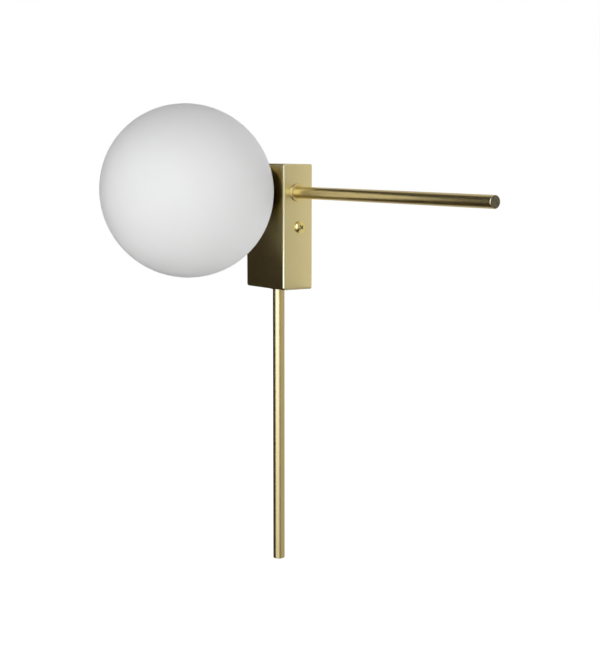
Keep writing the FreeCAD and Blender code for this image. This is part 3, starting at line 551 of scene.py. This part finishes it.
def settle(piece):
    """Applies the piece's modifiers."""
    graph = bpy.context.evaluated_depsgraph_get()
    mesh = bpy.data.meshes.new_from_object(piece.evaluated_get(graph))
    piece.modifiers.clear()
    piece.data = mesh


def cut(piece, cutters):
    """Takes the cutters out of the piece."""
    for cutter in cutters:
        modifier = piece.modifiers.new("cut", "BOOLEAN")
        modifier.operation = "DIFFERENCE"
        modifier.solver = "EXACT"
        modifier.object = cutter
    settle(piece)
    for cutter in cutters:
        bpy.data.objects.remove(cutter)


def block(low, high):
    """Bmesh of a block between two corners."""
    bm = bmesh.new()
    bmesh.ops.create_cube(bm, size=1.0)
    bmesh.ops.scale(bm, vec=high - low, verts=bm.verts)
    bmesh.ops.translate(bm, vec=(low + high) / 2, verts=bm.verts)
    return bm


def drill(radius, start, direction):
    """Cutter for a round hole through the box's wall."""
    half = DRILL_LENGTH / 2
    outline = [Vector((0, -half)), Vector((radius, -half)), Vector((radius, half)), Vector((0, half))]
    return lathe("drill", outline, start, direction, "satin_brass", DRILL_SEGMENTS, closed=False)


# Pieces


def canopy():
    """Box of brass sheet with softly rounded outer edges, open at the wall."""
    bm = block(BOX_LOW, BOX_HIGH)
    outer = [e for e in bm.edges if min(v.co.y for v in e.verts) < FACE_Y + BOX_WALL]
    bmesh.ops.bevel(bm, geom=outer, offset=BOX_EDGE, segments=BOX_EDGE_STEPS, profile=0.5,
                    affect="EDGES")
    shell = add_mesh("canopy_shell", bm, MATERIALS["box_brass"])
    cutters = [hollow(), drill(STEM_HOLE, AXIS_START, FORWARD)]
    for foot, direction in rod_feet().values():
        cutters.append(drill(ROD_TAP_RADIUS + HOLE_PLAY, foot, direction))
    for seat, direction in screw_seats():
        cutters.append(drill(SCREW_SHANK_RADIUS + HOLE_PLAY, seat, direction))
    cut(shell, cutters)
    smooth(shell)
    even_shading(shell)
    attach(shell, "fixture")
    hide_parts("canopy")


def hollow():
    """Cutter for the inside of the box."""
    inset = Vector((BOX_WALL, BOX_WALL, BOX_WALL))
    low = BOX_LOW + inset
    high = BOX_HIGH - inset
    high.y = BOX_HIGH.y + BOX_WALL
    cutter = add_mesh("hollow", block(low, high), MATERIALS["box_brass"])
    modifier = cutter.modifiers.new("round", "BEVEL")
    modifier.width = BOX_INNER_EDGE
    modifier.segments = BOX_INNER_STEPS
    settle(cutter)
    return cutter


def rod_feet():
    """Foot and direction of each rod."""
    low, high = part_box("horizontal_rod")
    level = Vector((low.x, (low.y + high.y) / 2, (low.z + high.z) / 2))
    low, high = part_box("vertical_rod")
    drop = Vector(((low.x + high.x) / 2, (low.y + high.y) / 2, high.z))
    return {"horizontal": (level, RIGHT), "vertical": (drop, DOWN)}


def rods():
    """Solid bars with a chamfered end and a tapped hole in the foot, and the collars round them."""
    for which, (foot, direction) in rod_feet().items():
        low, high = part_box(which + "_rod")
        radius = (high.y - low.y) / 2
        bar = lathe(which + "_bar", rounded([
            (ROD_TAP_RADIUS, 0),
            (radius, 0),
            (radius, ROD_LENGTH - ROD_CHAMFER, ROD_CHAMFER_EDGE),
            (radius - ROD_CHAMFER, ROD_LENGTH, ROD_END_EDGE),
            (0, ROD_LENGTH),
            (0, ROD_TAP_DEPTH),
            (ROD_TAP_RADIUS, ROD_TAP_DEPTH),
        ]), foot, direction, "rod_brass", FINE_SEGMENTS)
        even_shading(bar)
        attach(bar, "fixture")
        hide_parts(which + "_rod")

        low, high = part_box(which + "_collar")
        height = abs((high - low).dot(direction))
        outer = (high.y - low.y) / 2
        flat = height - COLLAR_LIP_HEIGHT
        lip = radius + COLLAR_LIP_WIDTH
        collar = lathe(which + "_foot_ring", rounded([
            (radius, 0),
            (outer, 0),
            (outer, flat, COLLAR_ROUNDING),
            (lip, flat, COLLAR_LIP_FOOT),
            (lip, height, COLLAR_LIP_EDGE),
            (radius, height, COLLAR_LIP_EDGE),
        ]), foot, direction, "satin_brass", FINE_SEGMENTS)
        even_shading(collar)
        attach(collar, "fixture")
        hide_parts(which + "_collar")


def screw_seats():
    """Seat and direction of the screw in each side of the box, right and left."""
    low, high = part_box("canopy_screws")
    y = (low.y + high.y) / 2
    z = (low.z + high.z) / 2
    return [(Vector((BOX_HIGH.x, y, z)), RIGHT), (Vector((BOX_LOW.x, y, z)), -RIGHT)]


def canopy_screws():
    """Polished screws with a domed head, a cross recess and a plain shank."""
    low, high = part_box("canopy_screws")
    radius = (high.z - low.z) / 2
    crown = high.x - BOX_HIGH.x
    rise = crown - SCREW_RIM
    ball = (radius ** 2 + rise ** 2) / (2 * rise)
    edge = math.degrees(math.acos(radius / ball))
    outline = [
        Vector((0, -SCREW_LENGTH)),
        Vector((SCREW_SHANK_RADIUS - SCREW_TIP_CHAMFER, -SCREW_LENGTH)),
        Vector((SCREW_SHANK_RADIUS, SCREW_TIP_CHAMFER - SCREW_LENGTH)),
        Vector((SCREW_SHANK_RADIUS, 0)),
    ]
    foot = (radius - SCREW_RIM_EDGE, SCREW_RIM_EDGE)
    outline += arc(foot, SCREW_RIM_EDGE, -90, 0, CORNER_STEPS)
    outline += arc((0, crown - ball), ball, edge, 90, DOME_STEPS)
    for which, (seat, direction) in zip(("right", "left"), screw_seats()):
        name = f"canopy_screw_{which}"
        screw = lathe(name, outline, seat, direction, "polished_brass", closed=False)
        top = placement(seat + direction * crown, direction)
        cut(screw, [cross_recess(radius * RECESS_WIDTH, crown * RECESS_DEPTH, top)])
        soften_recess(screw)
        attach(screw, "fixture")
        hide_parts("canopy_screws")


def cross_recess(width, depth, top):
    """Cutter for a cross that narrows from the top of the crown downwards."""
    reach = width / 2
    wing = reach * RECESS_WING
    quarter = [(reach, -wing), (reach, wing), (wing, wing)]
    outline = quarter[:]
    for _ in range(3):
        quarter = [(-y, x) for x, y in quarter]
        outline += quarter

    def narrowed(value):
        return value * (RECESS_REACH_TAPER if abs(value) == reach else RECESS_WING_TAPER)

    bm = bmesh.new()
    upper = []
    lower = []
    for x, y in outline:
        upper.append(bm.verts.new((x, y, depth * RECESS_OVERSHOOT)))
        lower.append(bm.verts.new((narrowed(x), narrowed(y), -depth)))
    bm.faces.new(upper)
    bm.faces.new(lower)
    for i in range(len(outline)):
        j = (i + 1) % len(outline)
        bm.faces.new((upper[i], upper[j], lower[j], lower[i]))
    bmesh.ops.recalc_face_normals(bm, faces=bm.faces)
    turn = Matrix.Rotation(math.radians(RECESS_TURN), 4, "Z")
    return add_mesh("recess", bm, MATERIALS["polished_brass"], top @ turn)


def soften_recess(screw):
    """Rounds every edge of a screw that is sharper than RECESS_EDGE_ANGLE."""
    modifier = screw.modifiers.new("soften", "BEVEL")
    modifier.width = RECESS_EDGE
    modifier.segments = RECESS_EDGE_STEPS
    modifier.limit_method = "ANGLE"
    modifier.angle_limit = math.radians(RECESS_EDGE_ANGLE)
    settle(screw)
    screw.data.shade_smooth()
    even_shading(screw)


def globe():
    """Glass ball with a ground rim and a neck that is folded inwards."""
    outer = GLOBE_RADIUS
    inner = outer - GLASS_WALL
    rim = FACE_Y - GLOBE_HIGH.y
    lip = NECK_WALL / 2
    lip_centre = (NECK_BORE + lip, rim + NECK_LENGTH - lip)
    ground = math.degrees(math.asin((rim - GLOBE_CENTRE) / outer))
    shoulder = math.degrees(-math.acos((NECK_BORE + NECK_WALL) / inner))
    outline = [Vector((NECK_BORE, rim))]
    outline += arc((0, GLOBE_CENTRE), outer, ground, 90, GLOBE_OUTER_STEPS)
    outline += arc((0, GLOBE_CENTRE), inner, 90, shoulder, GLOBE_INNER_STEPS)
    outline += arc(lip_centre, lip, 0, 180, NECK_LIP_STEPS)
    ball = lathe("globe_glass", outline, AXIS_START, FORWARD, "opal_glass", GLOBE_SEGMENTS)
    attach(ball, "globe")
    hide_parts("globe")


def waist():
    """Short waisted spacer between the box and the globe's holder."""
    radius = (SPACER_HIGH.x - SPACER_LOW.x) / 2
    sag = radius - SPACER_WAIST
    curve = (SPACER_LENGTH ** 2 / 4 + sag ** 2) / (2 * sag)
    outline = [Vector((STEM_HOLE, 0))]
    for i in range(SPACER_STEPS + 1):
        place = SPACER_LENGTH * i / SPACER_STEPS
        reach = math.sqrt(curve ** 2 - (place - SPACER_LENGTH / 2) ** 2)
        outline.append(Vector((SPACER_WAIST + curve - reach, place)))
    outline.append(Vector((STEM_HOLE, SPACER_LENGTH)))
    spacer = lathe("waist", outline, AXIS_START, FORWARD, "satin_brass")
    even_shading(spacer)
    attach(spacer, "fixture")
    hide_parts("stem_spacer")


def holder():
    """Turned dish behind the globe, with a lip round the seal and the spigot for the neck."""
    low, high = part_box("globe_holder")
    seal_low, seal_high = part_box("globe_seal")
    radius = (high.x - low.x) / 2
    inside = radius - HOLDER_LIP
    seat = SPACER_LENGTH + HOLDER_FLOOR
    lip_end = seat + (seal_high.y - seal_low.y) * HOLDER_LIP_COVER
    end = FACE_Y - low.y
    bore = SPIGOT_RADIUS - SPIGOT_WALL
    dish = lathe("holder_dish", rounded([
        (STEM_HOLE, SPACER_LENGTH, HOLDER_EDGE),
        (radius, SPACER_LENGTH, HOLDER_CORNER),
        (radius, lip_end, HOLDER_EDGE),
        (inside, lip_end, HOLDER_EDGE),
        (inside, seat),
        (SPIGOT_RADIUS, seat),
        (SPIGOT_RADIUS, end - SPIGOT_LEAD_IN, HOLDER_EDGE),
        (SPIGOT_RADIUS - SPIGOT_LEAD_IN, end, HOLDER_EDGE),
        (bore, end, HOLDER_EDGE),
        (bore, seat),
        (STEM_HOLE, seat, HOLDER_EDGE),
    ]), AXIS_START, FORWARD, "satin_brass", FINE_SEGMENTS)
    even_shading(dish)
    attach(dish, "fixture")
    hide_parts("globe_holder")


canopy()
rods()
canopy_screws()
globe()
waist()
holder()


# Studio

WHITE = (1.0, 1.0, 1.0)
FLOOR_DROP = 3.0
FLOOR_SIZE = 40.0
FLOOR_COLOUR = (0.90, 0.90, 0.89)
AMBIENT = 0.08
LIGHT_DISTANCE = 2.4
LIGHT_AIM = Vector((0.0, -0.10, 0.03))

# Cards stand on a sphere round the object
CARD_DISTANCE = 2.2
CARD_COLUMNS = 24
CARD_ROWS = 18

# Azimuths at which they start and end, and how far the low key card's left side leans inwards
DARK_BACK = -140
DARK_LEFT = -107
KEY_LEFT = -10
LOW_KEY_SLANT = 30
LOW_KEY_RIGHT = 60
KEY_RIGHT = 63
GREY_START = 92
GREY_END = 220

# Rises at which they start and end
POLE = 89
CAP = 66
SIDE_TOP = 62
DARK_BACK_TOP = 12
DARK_BACK_BOTTOM = -60
KEY_TOP = 45
KEY_MIDDLE = -6
KEY_BOTTOM = -27

# Card in the wall's plane beside the box, up to a corner (x, z)
WALL_CARD_Y = 0.5 * MM
WALL_CARD_CORNER = (0.40, 0.60)

# Colours of the cards. A second colour takes over between two heights, or on the wall card
# between two distances to the right.
DARK_GLOW = (0.036, 0.030, 0.024)
KEY_GLOW = ((0.98, 1.00, 1.04), (1.62, 1.98, 3.30))
KEY_SPAN = (-0.64, -0.24)
GAP_GLOW = ((0.16, 0.15, 0.12), (0.44, 0.42, 0.39))
GREY_GLOW = ((0.44, 0.44, 0.46), (0.53, 0.53, 0.53))
SOFT_SPAN = (-0.60, -0.20)
SIDE_GLOW = ((0.69, 0.69, 0.69), (0.56, 0.56, 0.56))
SIDE_SPAN = (0.028, 0.070)


def toward(azimuth, rise):
    """Unit vector for an azimuth, from the front towards the right, and a rise above level."""
    turn = math.radians(azimuth)
    lift = math.radians(rise)
    level = math.cos(lift)
    return Vector((math.sin(turn) * level, -math.cos(turn) * level, math.sin(lift)))


def empty_material(name):
    """Material without nodes, and its node tree."""
    material = bpy.data.materials.new(name)
    material.use_nodes = True
    material.node_tree.nodes.clear()
    return material, Nodes(material.node_tree)


def floor():
    """Pale matt floor that shows white to the camera and in reflections, and keeps shadows."""
    material, nodes = empty_material("floor_paper")
    output = nodes.add("ShaderNodeOutputMaterial")
    paper = nodes.add("ShaderNodeBsdfDiffuse")
    glow = nodes.add("ShaderNodeEmission")
    both = nodes.add("ShaderNodeAddShader")
    nodes.feed(FLOOR_COLOUR, paper.inputs["Color"])
    nodes.feed(WHITE, glow.inputs["Color"])
    nodes.link(nodes.seen(), glow.inputs["Strength"])
    nodes.link(paper.outputs[0], both.inputs[0])
    nodes.link(glow.outputs[0], both.inputs[1])
    nodes.link(both.outputs[0], output.inputs["Surface"])
    bm = bmesh.new()
    bmesh.ops.create_grid(bm, x_segments=1, y_segments=1, size=FLOOR_SIZE / 2)
    plane = add_mesh("floor", bm, material, Matrix.Translation((0, 0, -FLOOR_DROP)))


def glow_material(name, colour, other=None, span=None, axis="Z"):
    """Glow of one colour, or one that runs into another between two places along an axis."""
    material, nodes = empty_material(name)
    output = nodes.add("ShaderNodeOutputMaterial")
    glow = nodes.add("ShaderNodeEmission")
    nodes.feed(colour, glow.inputs["Color"])
    if other is not None:
        nodes.link(nodes.mix(nodes.ramp(axis, *span), colour, other), glow.inputs["Color"])
    nodes.link(nodes.seen(), glow.inputs["Strength"])
    nodes.link(glow.outputs[0], output.inputs["Surface"])
    return material


def add_card(name, bm, material):
    """Puts up a card that only reflections see."""
    sheet = add_mesh(name, bm, material)
    sheet.visible_camera = False
    sheet.visible_diffuse = False
    sheet.visible_transmission = False
    sheet.visible_shadow = False


def card(name, material, azimuths, rises, slant=0):
    """Card round the object. Its first side leans inwards by slant degrees at the bottom."""
    bm = bmesh.new()
    grid = []
    for i in range(CARD_COLUMNS + 1):
        line = []
        for j in range(CARD_ROWS + 1):
            first = azimuths[0] + slant * (1 - j / CARD_ROWS)
            azimuth = first + (azimuths[1] - first) * i / CARD_COLUMNS
            rise = rises[0] + (rises[1] - rises[0]) * j / CARD_ROWS
            line.append(bm.verts.new(toward(azimuth, rise) * CARD_DISTANCE))
        grid.append(line)
    for i in range(CARD_COLUMNS):
        for j in range(CARD_ROWS):
            bm.faces.new((grid[i][j], grid[i + 1][j], grid[i + 1][j + 1], grid[i][j + 1]))
    add_card(name, bm, material)


def wall_card(name, material, low, high):
    """Flat card in the plane of the wall, between two corners (x, z)."""
    corners = [(low[0], low[1]), (high[0], low[1]), (high[0], high[1]), (low[0], high[1])]
    bm = bmesh.new()
    bm.faces.new([bm.verts.new((x, WALL_CARD_Y, z)) for x, z in corners])
    add_card(name, bm, material)


def cards():
    """What the brass reflects: a bright key among dark cards, a grey card behind, one on the wall."""
    dark = glow_material("dark", DARK_GLOW)
    key = glow_material("key", *KEY_GLOW, KEY_SPAN)
    gap = glow_material("gap", *GAP_GLOW, SOFT_SPAN)
    grey = glow_material("grey", *GREY_GLOW, SOFT_SPAN)
    side = glow_material("side", *SIDE_GLOW, SIDE_SPAN, axis="X")
    card("dark_card", dark, azimuths=(KEY_LEFT, DARK_LEFT), rises=(-CAP, SIDE_TOP))
    card("dark_back_card", dark, azimuths=(DARK_LEFT, DARK_BACK),
         rises=(DARK_BACK_BOTTOM, DARK_BACK_TOP))
    card("dark_top_card", dark, azimuths=(-180, 180), rises=(CAP, POLE))
    card("dark_low_card", dark, azimuths=(-180, 180), rises=(-POLE, -CAP))
    card("dark_upper_card", dark, azimuths=(KEY_LEFT, GREY_START), rises=(KEY_TOP, CAP))
    card("dark_lower_card", dark, azimuths=(KEY_LEFT, GREY_START), rises=(-CAP, KEY_BOTTOM))
    card("key_card", key, azimuths=(KEY_LEFT, KEY_RIGHT), rises=(KEY_MIDDLE, KEY_TOP))
    card("low_key_card", key, azimuths=(KEY_LEFT, LOW_KEY_RIGHT), rises=(KEY_BOTTOM, KEY_MIDDLE),
         slant=LOW_KEY_SLANT)
    card("gap_card", gap, azimuths=(KEY_RIGHT, GREY_START), rises=(KEY_BOTTOM, KEY_TOP))
    card("grey_card", grey, azimuths=(GREY_START, GREY_END), rises=(-SIDE_TOP, SIDE_TOP))
    wall_card("side_card", side, (BOX_HIGH.x, BOX_LOW.z), WALL_CARD_CORNER)


def softbox(name, azimuth, elevation, width, height, radiance):
    """Area light that reflections don't see. radiance is its face's brightness, where 1 is white."""
    lamp = bpy.data.lights.new(name, "AREA")
    lamp.shape = "RECTANGLE"
    lamp.size = width
    lamp.size_y = height
    lamp.energy = radiance * math.pi * width * height
    light = new_object(name, lamp)
    back = toward(azimuth, elevation)
    light.location = LIGHT_AIM + back * LIGHT_DISTANCE
    light.rotation_mode = "QUATERNION"
    light.rotation_quaternion = back.to_track_quat("Z", "Y")
    light.visible_camera = False
    light.visible_glossy = False


def lights():
    """Soft light on the matt surfaces, from all sides."""
    softbox("front_light", azimuth=27, elevation=10, width=1.8, height=2.2, radiance=3.06)
    softbox("left_light", azimuth=-50, elevation=8, width=1.2, height=2.0, radiance=0.35)
    softbox("right_light", azimuth=134, elevation=6, width=1.4, height=2.0, radiance=2.70)
    softbox("back_light", azimuth=172, elevation=-8, width=1.2, height=2.0, radiance=2.60)
    softbox("top_light", azimuth=50, elevation=68, width=1.6, height=1.6, radiance=1.45)
    softbox("low_light", azimuth=50, elevation=-40, width=1.8, height=1.2, radiance=2.80)


def world():
    """White to the camera and in reflections, plain soft light on everything else."""
    studio = bpy.data.worlds.new("studio")
    bpy.context.scene.world = studio
    studio.use_nodes = True
    studio.node_tree.nodes.clear()
    nodes = Nodes(studio.node_tree)
    output = nodes.add("ShaderNodeOutputWorld")
    background = nodes.add("ShaderNodeBackground")
    nodes.feed(WHITE, background.inputs["Color"])
    nodes.link(nodes.blend(nodes.seen(), AMBIENT, 1.0), background.inputs["Strength"])
    nodes.link(background.outputs[0], output.inputs["Surface"])


floor()
cards()
lights()
world()
bpy.context.scene.view_settings.view_transform = "Standard"


# Camera, fitted to the photograph. The sensor's width lies along the frame's longer side.

FRAME_WIDTH_PX = 600
FRAME_HEIGHT_PX = 660
FOCAL_PX = 1433.0
CENTRE_X_PX = 393.0
CENTRE_Y_PX = 388.0
SENSOR_WIDTH_MM = 36.0
CAMERA_PLACE = Vector((1.0131, -0.7195, 0.0620))
CAMERA_AZIMUTH = 50.55
CAMERA_PITCH = 9.29
CAMERA_ROLL = 0.67


def camera():
    data = bpy.data.cameras.new("camera")
    data.sensor_width = SENSOR_WIDTH_MM
    data.lens = FOCAL_PX / FRAME_HEIGHT_PX * SENSOR_WIDTH_MM
    data.shift_x = -(CENTRE_X_PX - FRAME_WIDTH_PX / 2) / FRAME_HEIGHT_PX
    data.shift_y = (CENTRE_Y_PX - FRAME_HEIGHT_PX / 2) / FRAME_HEIGHT_PX
    roll = math.radians(CAMERA_ROLL)
    ahead = -toward(CAMERA_AZIMUTH, CAMERA_PITCH)
    level = UP.cross(-ahead).normalized()
    right = level * math.cos(roll) + level.cross(ahead) * math.sin(roll)
    up = right.cross(ahead)
    axes = Matrix((right, up, -ahead)).transposed()
    eye = new_object("camera", data)
    eye.matrix_world = Matrix.Translation(CAMERA_PLACE) @ axes.to_4x4()
    bpy.context.scene.camera = eye


camera()
